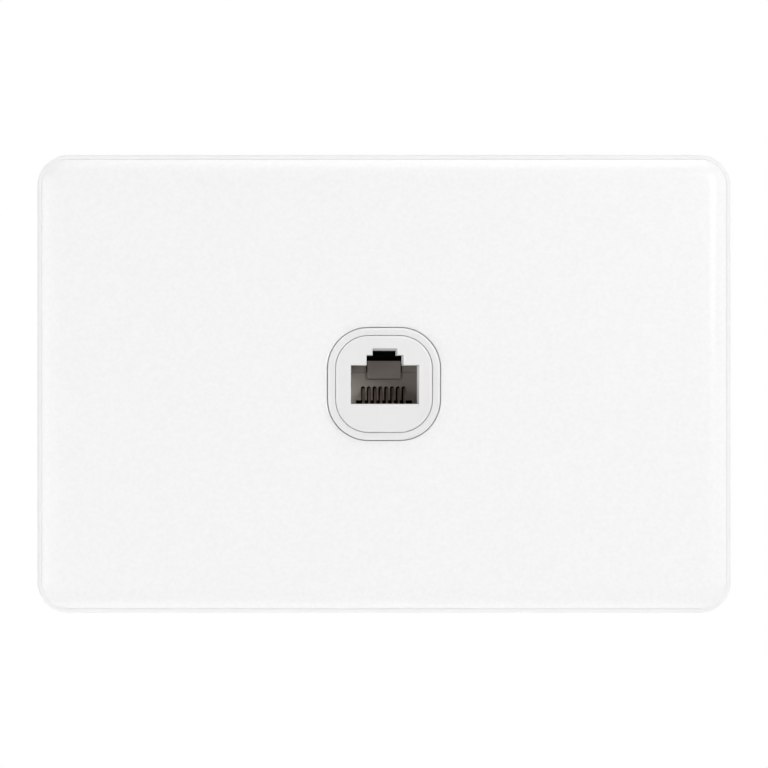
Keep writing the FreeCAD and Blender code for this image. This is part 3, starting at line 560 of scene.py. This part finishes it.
spring = {
    "count": 8, "pitch": 1.02, "width": 0.4, "thick": 0.3, "tilt": math.radians(21.5),
    "run": -4.5, "tail": 9.0, "bendY": -2.7, "bendRadius": 0.5, "bendSteps": 16, "tipY": 4.15, "edge": 0.07,
    "look": {"dark": (0.46, 0.37, 0.29), "light": (0.58, 0.48, 0.38), "stain": 1.2, "lines": 0.06,
             "stretch": (1.0, 0.08, 0.08), "rough": (0.32, 0.46), "lineDepth": 0.006, "lineStrength": 0.3},
}
comb = {
    "half": 4.65, "bedTop": -4.1, "rearTop": -1.3,
    "wallHalf": 5.75, "wallFloor": -3.5, "wallTop": 2.03, "wallRear": 5.55,
    "tongueHalf": 2.92, "tongueFront": 3.3, "tongueFloor": 0.95, "tongueTop": 4.05, "shadowLine": 0.16,
    "slotLeft": 0.48, "slotRight": 0.24, "archRise": 0.2, "archSteps": 8,
    "cellarHalf": 4.95, "cellarRoof": -2.87, "postHalf": 5.15, "postFront": 5.0,
    "grooveHalf": 0.26, "grooveRoof": -4.29, "edge": 0.05,
}


def springPlaces():
    return [(number - (spring["count"] - 1) / 2) * spring["pitch"] for number in range(spring["count"])]


def armHeight(y):  # height of the sloping spring line at a depth
    bendZ = spring["run"] + spring["bendRadius"]
    startY = spring["bendY"] - spring["bendRadius"] * math.sin(spring["tilt"])
    startZ = bendZ + spring["bendRadius"] * math.cos(spring["tilt"])
    return startZ + (y - startY) * math.tan(spring["tilt"])


def makeComb(paint):
    low, high = nodeBox("contact_carrier")
    half, post, wall, tongue = comb["half"], comb["postHalf"], comb["wallHalf"], comb["tongueHalf"]
    back, wallRear = jackBody["portBack"], comb["wallRear"]
    piece = boxPiece("contactComb", (-half, low.y, low.z), (half, high.y, comb["bedTop"]))
    weld(piece,
         boxPiece("rear", (-post, comb["postFront"], low.z), (post, high.y, comb["rearTop"])),
         boxPiece("wall", (-wall, back, comb["wallFloor"]), (wall, wallRear, comb["wallTop"])),
         boxPiece("tongue", (-tongue, comb["tongueFront"], comb["tongueFloor"]),
                  (tongue, wallRear, comb["tongueTop"])))
    # the space under the wall, open to the board between two posts, and a fine line under the tongue
    line, rear = comb["tongueFloor"] - comb["shadowLine"], high.y + past
    wide, roof = comb["cellarHalf"], comb["cellarRoof"]
    cuts = [boxPiece("cellar", (-wide, back - past, comb["bedTop"]), (wide, rear, roof)),
            boxPiece("line", (-tongue, back - past, line), (tongue, back + past / 2, comb["tongueFloor"]))]
    left, right, groove = comb["slotLeft"], comb["slotRight"], comb["grooveHalf"]
    crown = armHeight(spring["tipY"]) + spring["thick"] / 2 + comb["archRise"]
    for x in springPlaces():
        slot = boxPiece("slot", (x - left, back - past, roof - past / 2), (x + right, rear, crown))
        roundEdges(slot, lambda e: all(v.co.z > crown - near for v in e.verts) and runs(1)(e),
                   (left + right) / 2 - near / 4, comb["archSteps"])
        cuts.append(slot)
        cuts.append(boxPiece("groove", (x - groove, low.y - past, low.z - past),
                             (x + groove, rear, comb["grooveRoof"])))
    carve(piece, *cuts)
    softenEdges(piece, comb["edge"], clamp=False)
    settle(piece, "base", "jack_grey", paint, "contact_carrier")


def rolledPaint(name, look):  # plated strip: fine rolling lines along it and slight stains
    paint, nodes, links, shader, place = newPaint(name)
    stretch = nodes.new("ShaderNodeMapping")
    stretch.inputs["Scale"].default_value = look["stretch"]
    links.new(place, stretch.inputs["Vector"])
    lines = speckle(nodes, links, stretch.outputs["Vector"], look["lines"])
    stain = speckle(nodes, links, place, look["stain"], detail=2.0)
    links.new(blendTones(nodes, links, stain, look["dark"], look["light"]), shader.inputs["Base Color"])
    shader.inputs["Metallic"].default_value = 1.0
    links.new(toRange(nodes, links, lines, *look["rough"]), shader.inputs["Roughness"])
    addBump(nodes, links, shader, lines, look["lineDepth"], look["lineStrength"])
    return paint


def makeSprings():
    paint = rolledPaint("contactGold", spring["look"])
    half, thick, run, tilt = spring["width"] / 2, spring["thick"] / 2, spring["run"], spring["tilt"]
    bendY, bendZ = spring["bendY"], run + spring["bendRadius"]
    strip = boxPiece("springContact", (-half, bendY, run - thick), (half, spring["tail"], run + thick))
    with editing(strip):
        pick(strip, "faces", looks(1, -1))
        bpy.ops.mesh.spin(steps=spring["bendSteps"], dupli=False, angle=math.pi + tilt,
                          center=(0, bendY, bendZ), axis=(1, 0, 0))
        startY = bendY - spring["bendRadius"] * math.sin(tilt)
        push(y=spring["tipY"] - startY, z=armHeight(spring["tipY"]) - armHeight(startY))
    softenEdges(strip, spring["edge"])
    for number, x in enumerate(springPlaces(), start=1):
        piece = twin(strip, x=x)
        piece.name = f"springContact{number}"
        settle(piece, "base", "contact_gold", paint, f"contact_{number}")
    bpy.data.objects.remove(strip)


screw = {
    "headRadius": 3.4, "headSides": 48, "headRound": 0.9, "headSteps": 8,
    "seat": -2.6, "neck": 1.5, "core": 1.3,
    "root": 1.38, "crest": 1.75, "pitch": 1.0, "threadSteps": 24, "threadEnd": 21.6, "tipShare": 0.7,
    "crossSpan": 3.8, "crossWidth": 1.0, "crossDepth": 1.3, "crossTaper": 0.6,
    "edge": 0.08, "edgeAngle": 50,
    "look": {"dark": (0.34, 0.35, 0.37), "light": (0.5, 0.5, 0.49), "cloud": 1.6, "fine": 0.12,
             "rough": (0.24, 0.42), "fineDepth": 0.01, "fineStrength": 0.25},
}


def zincPaint():  # bright zinc: cloudy tone and gloss, finely pitted
    look = screw["look"]
    paint, nodes, links, shader, place = newPaint("screwZinc")
    cloud = speckle(nodes, links, place, look["cloud"], detail=4.0)
    fine = speckle(nodes, links, place, look["fine"])
    links.new(blendTones(nodes, links, cloud, look["dark"], look["light"]), shader.inputs["Base Color"])
    shader.inputs["Metallic"].default_value = 1.0
    links.new(toRange(nodes, links, cloud, *look["rough"]), shader.inputs["Roughness"])
    addBump(nodes, links, shader, fine, look["fineDepth"], look["fineStrength"])
    return paint


def screwThread():  # one flank pair wound round the shank, closed at its two ends
    bpy.ops.object.select_all(action="DESELECT")
    pitch, root, crest = screw["pitch"], screw["root"], screw["crest"]
    size = (crest - root) / 1.5  # a three-cornered ring is one and a half radii high
    bpy.ops.mesh.primitive_circle_add(vertices=3, radius=size, location=(crest - size, pitch, 0),
                                      rotation=(0, 0, -math.pi / 2))
    thread = bpy.context.active_object
    thread.scale.x = pitch / (math.sqrt(3) * size)  # its foot is one pitch wide
    bpy.ops.object.transform_apply(location=True, rotation=True, scale=True)
    with editing(thread):
        pick(thread, "edges", lambda e: all(v.co.x < root + near for v in e.verts))
        bpy.ops.mesh.delete(type="EDGE")
    wind = thread.modifiers.new("wind", "SCREW")
    wind.axis = "Y"
    wind.screw_offset = pitch
    wind.iterations = int(screw["threadEnd"] / pitch) - 2  # a free turn is left at each end
    wind.steps = wind.render_steps = screw["threadSteps"]
    bpy.ops.object.modifier_apply(modifier=wind.name)
    with editing(thread):
        bpy.ops.mesh.select_all(action="SELECT")
        bpy.ops.mesh.remove_doubles(threshold=near)
        bpy.ops.mesh.fill_holes(sides=0)
        bpy.ops.mesh.normals_make_consistent(inside=False)
    return thread


def makeScrews():
    low, high = nodeBox("mounting_screws")
    turn, seat = screw["headRound"], screw["seat"]
    front = low.y + turn
    bpy.ops.object.select_all(action="DESELECT")
    bpy.ops.mesh.primitive_cylinder_add(vertices=screw["headSides"], radius=screw["headRadius"],
                                        depth=seat - front, location=(0, (seat + front) / 2, 0),
                                        rotation=(math.pi / 2, 0, 0))
    piece = bpy.context.active_object
    bpy.ops.object.transform_apply(location=True, rotation=True, scale=False)
    with editing(piece):
        pick(piece, "faces", looks(1, -1))
        rollIn(turn, turn, screw["headSteps"])
        pick(piece, "faces", looks(1, 1))
        stepIn(screw["headRadius"] - screw["neck"])
        push(y=-seat)
        stepIn(screw["neck"] - screw["core"])
        push(y=screw["threadEnd"])
        push(y=high.y - screw["threadEnd"])
        tip = screw["tipShare"]
        bpy.ops.transform.resize(value=(tip, 1, tip), center_override=(0, high.y, 0))
    span, width, taper = screw["crossSpan"] / 2, screw["crossWidth"] / 2, screw["crossTaper"]
    floor = low.y + screw["crossDepth"]
    for x, z in ((span, width), (width, span)):
        arm = boxPiece("cross", (-x, low.y - past, -z), (x, floor, z))
        with editing(arm):
            pick(arm, "faces", looks(1, 1))
            bpy.ops.transform.resize(value=(taper, 1, taper), center_override=(0, floor, 0))
        carve(piece, arm)
    softenEdges(piece, screw["edge"], angle=screw["edgeAngle"])
    weld(piece, screwThread())
    left = twin(piece, x=low.x + screw["headRadius"])
    right = twin(piece, x=high.x - screw["headRadius"])
    bpy.data.objects.remove(piece)
    useOn(left)
    right.select_set(True)
    bpy.ops.object.join()
    left.name = "wallScrews"
    settle(left, "base", "screw_zinc", zincPaint(), "mounting_screws")


terminal = {
    "rowX": 5.4, "pitch": 3.6, "perRow": 4, "margin": 1.2, "corner": 0.7, "cornerSteps": 4,
    "baseRear": 10.6, "towerHalf": 2.0, "towerLow": -6.7, "towerHigh": 8.1,
    "slotHalf": 0.5, "slotFloor": 13.6, "mouthHalf": 1.0, "mouthDepth": 1.1,
    "bladeRoom": 0.26, "bladeSeat": 9.9, "bladeHalf": 1.36, "tailHalf": 0.36,
    "armIn": 7.6, "armOut": 8.6, "armFront": 5.5, "armRear": 10.2, "hookX": 7.0, "hookRear": 6.3,
    "edge": 0.09,
    "look": {"dark": grey(0.44, 0.01), "light": grey(0.5, 0.01), "drift": 5.0, "grain": 0.25, "rough": 0.45,
             "ior": 1.5, "grainDepth": 0.015, "grainStrength": 0.3},
}


def terminalPlaces():
    top = jack["middle"] + terminal["pitch"] * (terminal["perRow"] - 1) / 2
    heights = [top - terminal["pitch"] * row for row in range(terminal["perRow"])]
    return [(x, z) for x in (-terminal["rowX"], terminal["rowX"]) for z in heights]


def flaredSlot(low, high, mouth, depth):  # a slot open to the rear, widening along Z at its mouth
    slot = boxPiece("slot", low, high)
    middle = ((low[0] + high[0]) / 2, high[1] + depth, (low[2] + high[2]) / 2)
    with editing(slot):
        pick(slot, "faces", looks(1, 1))
        push(y=depth)
        bpy.ops.transform.resize(value=(1, 1, 2 * mouth / (high[2] - low[2])), center_override=middle)
        push(y=past)
    return slot


def makeTerminalBlock():
    high = nodeBox("terminal_block")[1]
    front, base = nodeBox("circuit_board")[1].y, terminal["baseRear"]
    piece = jackBox("terminalBlock", terminal["margin"], front, base)
    rounded(piece, terminal["corner"], terminal["cornerSteps"])
    middle, arm = jack["middle"], jackBody["armHalf"]
    half, root = terminal["towerHalf"], (front + base) / 2
    tower = boxPiece("tower", (terminal["rowX"] - half, root, terminal["towerLow"]),
                     (terminal["rowX"] + half, high.y, terminal["towerHigh"]))
    bar = boxPiece("arm", (terminal["armIn"], terminal["armFront"], middle - arm),
                   (terminal["armOut"], terminal["armRear"], middle + arm))
    tooth = boxPiece("hook", (terminal["hookX"], terminal["armFront"], middle - arm),
                     ((terminal["armIn"] + terminal["armOut"]) / 2, terminal["hookRear"], middle + arm))
    sloped(tooth, lambda v: v.co.x < terminal["hookX"] + near and v.co.y < terminal["armFront"] + near,
           (terminal["armIn"] - terminal["hookX"] - toe, 0, 0))
    weld(bar, tooth)
    weld(piece, mirrorTwin(tower), tower, mirrorTwin(bar), bar)
    cuts = []
    reach, slot, room = half + past, terminal["slotHalf"], terminal["bladeRoom"]
    neck = high.y - terminal["mouthDepth"]
    for x, z in terminalPlaces():
        cuts.append(flaredSlot((x - reach, terminal["slotFloor"], z - slot), (x + reach, neck, z + slot),
                               terminal["mouthHalf"], terminal["mouthDepth"]))
        cuts.append(boxPiece("blade", (x - room, terminal["bladeSeat"], z - terminal["bladeHalf"]),
                             (x + room, high.y + past, z + terminal["bladeHalf"])))
        cuts.append(boxPiece("tail", (x - room, front - past, z - terminal["tailHalf"]),
                             (x + room, terminal["slotFloor"], z + terminal["tailHalf"])))
    carve(piece, *cuts)
    softenEdges(piece, terminal["edge"])
    settle(piece, "base", "terminal_grey", mouldedPaint("terminalGrey", terminal["look"]), "terminal_block")


blade = {
    "thick": 0.4, "tailFront": 7.6, "tailHalf": 0.3, "half": 1.3, "rear": 17.6,
    "slitFloor": 13.4, "slitHalf": 0.175, "mouthHalf": 0.55, "mouthDepth": 0.6, "tailRoot": 0.4, "edge": 0.05,
    "look": {"dark": (0.6, 0.59, 0.57), "light": (0.74, 0.73, 0.71), "stain": 0.9, "lines": 0.08,
             "stretch": (1.0, 0.1, 1.0), "rough": (0.25, 0.4), "lineDepth": 0.008, "lineStrength": 0.3},
}


def makeBlades():
    paint = rolledPaint("bladeTin", blade["look"])
    thick, half, tailHalf, seat = blade["thick"] / 2, blade["half"], blade["tailHalf"], terminal["bladeSeat"]
    fork = boxPiece("blade", (-thick, seat, -half), (thick, blade["rear"], half))
    weld(fork, boxPiece("tail", (-thick, blade["tailFront"], -tailHalf),
                        (thick, seat + blade["tailRoot"], tailHalf)))
    neck = blade["rear"] - blade["mouthDepth"]
    carve(fork, flaredSlot((-past, blade["slitFloor"], -blade["slitHalf"]), (past, neck, blade["slitHalf"]),
                           blade["mouthHalf"], blade["mouthDepth"]))
    softenEdges(fork, blade["edge"])
    for number, (x, z) in enumerate(terminalPlaces(), start=1):
        piece = twin(fork, x=x, z=z)
        piece.name = f"wireBlade{number}"
        settle(piece, "base", "blade_tin", paint, f"idc_blade_{number}")
    bpy.data.objects.remove(fork)


board = {
    "notchX": 7.5, "notchHalf": 3.1, "springHole": (0.3, 0.25), "bladeHole": (0.3, 0.4), "edge": 0.06,
    "look": {"mask": ((0.004, 0.018, 0.009), (0.007, 0.028, 0.014)),
             "glass": ((0.30, 0.27, 0.15), (0.42, 0.38, 0.22)), "cloud": 2.5, "weave": 0.5,
             "rough": (0.65, 0.8), "ior": 1.25, "weaveDepth": 0.01, "weaveStrength": 0.2},
}


def boardPaint():  # dark solder mask on the two faces, glass weave at the sawn edges
    look = board["look"]
    paint, nodes, links, shader, place = newPaint("boardGreen")
    cloud = speckle(nodes, links, place, look["cloud"], detail=2.0)
    weave = nodes.new("ShaderNodeTexBrick")
    weave.inputs["Scale"].default_value = 1 / (look["weave"] * mm)
    links.new(place, weave.inputs["Vector"])
    mask = blendTones(nodes, links, cloud, *look["mask"])
    glass = blendTones(nodes, links, cloud, *look["glass"])
    apart = nodes.new("ShaderNodeSeparateXYZ")
    links.new(place.node.outputs["Normal"], apart.inputs["Vector"])
    flat = nodes.new("ShaderNodeMath")
    flat.operation = "ABSOLUTE"
    links.new(apart.outputs["Y"], flat.inputs[0])
    sort = nodes.new("ShaderNodeMix")
    sort.data_type = "RGBA"
    links.new(toRange(nodes, links, flat.outputs["Value"], 0.0, 1.0), sort.inputs["Factor"])
    links.new(glass, sort.inputs["A"])
    links.new(mask, sort.inputs["B"])
    links.new(sort.outputs["Result"], shader.inputs["Base Color"])
    links.new(toRange(nodes, links, cloud, *look["rough"]), shader.inputs["Roughness"])
    shader.inputs["IOR"].default_value = look["ior"]
    addBump(nodes, links, shader, weave.outputs["Fac"], look["weaveDepth"], look["weaveStrength"])
    return paint


def makeBoard():
    low, high = nodeBox("circuit_board")
    piece = jackBox("circuitBoard", terminal["margin"], low.y, high.y)
    rounded(piece, terminal["corner"], terminal["cornerSteps"])
    front, rear = low.y - past, high.y + past
    holes = [(x, spring["run"], board["springHole"]) for x in springPlaces()]
    holes += [(x, z, board["bladeHole"]) for x, z in terminalPlaces()]
    cuts = [boxPiece("hole", (x - w, front, z - h), (x + w, rear, z + h)) for x, z, (w, h) in holes]
    notch = boxPiece("notch", (board["notchX"], front, jack["middle"] - board["notchHalf"]),
                     (high.x + past, rear, jack["middle"] + board["notchHalf"]))
    carve(piece, *cuts, mirrorTwin(notch), notch)
    softenEdges(piece, board["edge"], chamfer)
    settle(piece, "base", "board_green", boardPaint(), "circuit_board")


cap = {
    "corner": 0.6, "round": 0.35, "roundSteps": 4, "wall": 0.8, "ceiling": 18.7,
    "notchHalf": 0.7, "notchRear": 17.0,
    "pusherHalf": 0.4, "pusherFront": 18.0, "pusherSide": 0.2, "pusherRoot": 0.3, "edge": 0.1,
    "look": {"dark": grey(0.68, 0.01), "light": grey(0.74, 0.01), "drift": 5.0, "grain": 0.25, "rough": 0.35,
             "ior": 1.5, "grainDepth": 0.012, "grainStrength": 0.25},
}


def makeCaps():
    low, high = nodeBox("wire_cap_right")
    turn, steps, wall = cap["round"], cap["roundSteps"], cap["wall"]
    piece = rounded(boxPiece("cap", low, (high.x, high.y - turn, high.z)), cap["corner"], steps)
    with editing(piece):
        pick(piece, "faces", looks(1, 1))
        rollIn(turn, turn, steps)
    x0, x1 = low.x + wall, high.x - wall
    carve(piece, boxPiece("inside", (x0, low.y - past, low.z + wall), (x1, cap["ceiling"], high.z - wall)))
    pushers, notches = [], []
    half, side, notch = cap["pusherHalf"], cap["pusherSide"], cap["notchHalf"]
    for _, z in terminalPlaces()[terminal["perRow"]:]:
        pushers.append(boxPiece("pusher", (x0 - side, cap["pusherFront"], z - half),
                                (x1 + side, cap["ceiling"] + cap["pusherRoot"], z + half)))
        notches.append(boxPiece("notch", (low.x - past, low.y - past, z - notch),
                                (high.x + past, cap["notchRear"], z + notch)))
    weld(piece, *pushers)
    carve(piece, *notches)
    softenEdges(piece, cap["edge"])
    other = mirrorTwin(piece)
    paint = mouldedPaint("capWhite", cap["look"])
    piece.name, other.name = "wireCapRight", "wireCapLeft"
    settle(piece, "right_cap", "cap_white", paint, "wire_cap_right")
    settle(other, "left_cap", "cap_white", paint, "wire_cap_left")


studio = {
    "lens": 90.0, "sensor": 36.0, "clipStart": 10.0,
    "plane": -6.25, "frameWidth": 130.77,  # plate outline's plane and the width seen there
    "floor": -600.0, "floorSides": 96, "floorRadius": 4000.0, "floorClear": 900.0, "floorFade": 1300.0,
    "floorTones": (grey(0.86), grey(0.9)), "floorSpeck": 9.0, "floorRough": 0.9,
    "ambient": 0.06,
    # each lamp: place in mm, width and height in mm, watts
    "lamps": {
        "key": ((776, -1342, 396), (603, 603), 9.1),
        "rightLamp": ((1535, -360, 271), (1146, 1146), 6.6),
        "topLamp": ((264, -494, 1499), (1146, 1146), 14.0),
        "leftLamp": ((-1522, -494, 0), (1263, 1263), 12.4),
        "leftFill": ((-788, -1386, -139), (707, 707), 2.4),
        "lowLamp": ((0, -161, -495), (410, 410), 0.54),
        "backLeft": ((-500, 900, 500), (530, 530), 5.0),
        "backRight": ((600, 900, 200), (530, 530), 4.0),
    },
}


def makeStudio():
    scene = bpy.context.scene
    scene.view_settings.view_transform = "Standard"
    distance = studio["frameWidth"] * studio["lens"] / studio["sensor"]
    bpy.ops.object.camera_add(location=(0, (studio["plane"] - distance) * mm, 0),
                              rotation=(math.pi / 2, 0, 0))
    camera = bpy.context.active_object
    camera.data.lens = studio["lens"]
    camera.data.sensor_width = studio["sensor"]
    camera.data.clip_start = studio["clipStart"] * mm
    scene.camera = camera

    for name, (spot, size, watts) in studio["lamps"].items():
        spot = Vector(spot) * mm
        bpy.ops.object.light_add(type="AREA", location=spot)
        lamp = bpy.context.active_object
        lamp.name = name
        lamp.rotation_mode = "QUATERNION"
        lamp.rotation_quaternion = (-spot).to_track_quat("-Z", "Y")
        lamp.data.shape = "RECTANGLE"
        lamp.data.size, lamp.data.size_y = size[0] * mm, size[1] * mm
        lamp.data.energy = watts

    bpy.ops.mesh.primitive_circle_add(vertices=studio["floorSides"], radius=studio["floorRadius"] * mm,
                                      fill_type="NGON", location=(0, 0, studio["floor"] * mm))
    floor = bpy.context.active_object
    floor.name = "floor"
    bpy.ops.object.transform_apply(location=True, rotation=False, scale=False)
    floor.data.materials.append(floorPaint())
    whiteWorld(scene)
    print("studio done:", len(studio["lamps"]), "lamps")


def seenRays(nodes, links):  # 1 for what the camera, a reflection or clear plastic looks at
    path = nodes.new("ShaderNodeLightPath")
    first = nodes.new("ShaderNodeMath")
    first.operation = "MAXIMUM"
    links.new(path.outputs["Is Camera Ray"], first.inputs[0])
    links.new(path.outputs["Is Glossy Ray"], first.inputs[1])
    both = nodes.new("ShaderNodeMath")
    both.operation = "MAXIMUM"
    links.new(first.outputs["Value"], both.inputs[0])
    links.new(path.outputs["Is Transmission Ray"], both.inputs[1])
    return both.outputs["Value"]


def whiteWorld(scene):
    world = bpy.data.worlds.new("paleRoom")
    scene.world = world
    world.use_nodes = True
    nodes, links = world.node_tree.nodes, world.node_tree.links
    room = nodes["Background"]
    room.inputs["Color"].default_value = (1, 1, 1, 1)
    room.inputs["Strength"].default_value = studio["ambient"]
    white = nodes.new("ShaderNodeBackground")
    white.inputs["Color"].default_value = (1, 1, 1, 1)
    white.inputs["Strength"].default_value = 1.0
    mix = nodes.new("ShaderNodeMixShader")
    links.new(seenRays(nodes, links), mix.inputs["Fac"])
    links.new(room.outputs["Background"], mix.inputs[1])
    links.new(white.outputs["Background"], mix.inputs[2])
    links.new(mix.outputs["Shader"], nodes["World Output"].inputs["Surface"])


def floorPaint():  # matt near the object, where its shadow falls, and plain white further out
    paint, nodes, links, shader, place = newPaint("paleFloor")
    speck = speckle(nodes, links, place, studio["floorSpeck"])
    links.new(blendTones(nodes, links, speck, *studio["floorTones"]), shader.inputs["Base Color"])
    shader.inputs["Roughness"].default_value = studio["floorRough"]
    away = nodes.new("ShaderNodeVectorMath")
    away.operation = "LENGTH"
    links.new(place, away.inputs[0])
    fade = nodes.new("ShaderNodeMapRange")
    fade.inputs["From Min"].default_value = studio["floorClear"] * mm
    fade.inputs["From Max"].default_value = studio["floorFade"] * mm
    links.new(away.outputs["Value"], fade.inputs["Value"])
    seen = nodes.new("ShaderNodeMath")
    seen.operation = "MULTIPLY"
    links.new(fade.outputs["Result"], seen.inputs[0])
    links.new(seenRays(nodes, links), seen.inputs[1])
    white = nodes.new("ShaderNodeEmission")
    mix = nodes.new("ShaderNodeMixShader")
    links.new(seen.outputs["Value"], mix.inputs["Fac"])
    links.new(shader.outputs["BSDF"], mix.inputs[1])
    links.new(white.outputs["Emission"], mix.inputs[2])
    links.new(mix.outputs["Shader"], nodes["Material Output"].inputs["Surface"])
    return paint


makeCover()
makeWallFrame()
makeRing()
makeFace()
jackGrey = mouldedPaint("jackGrey", jackBody["look"])
makeJackBody(jackGrey)
makeComb(jackGrey)
makeSprings()
makeScrews()
makeBoard()
makeTerminalBlock()
makeBlades()
makeCaps()
makeStudio()
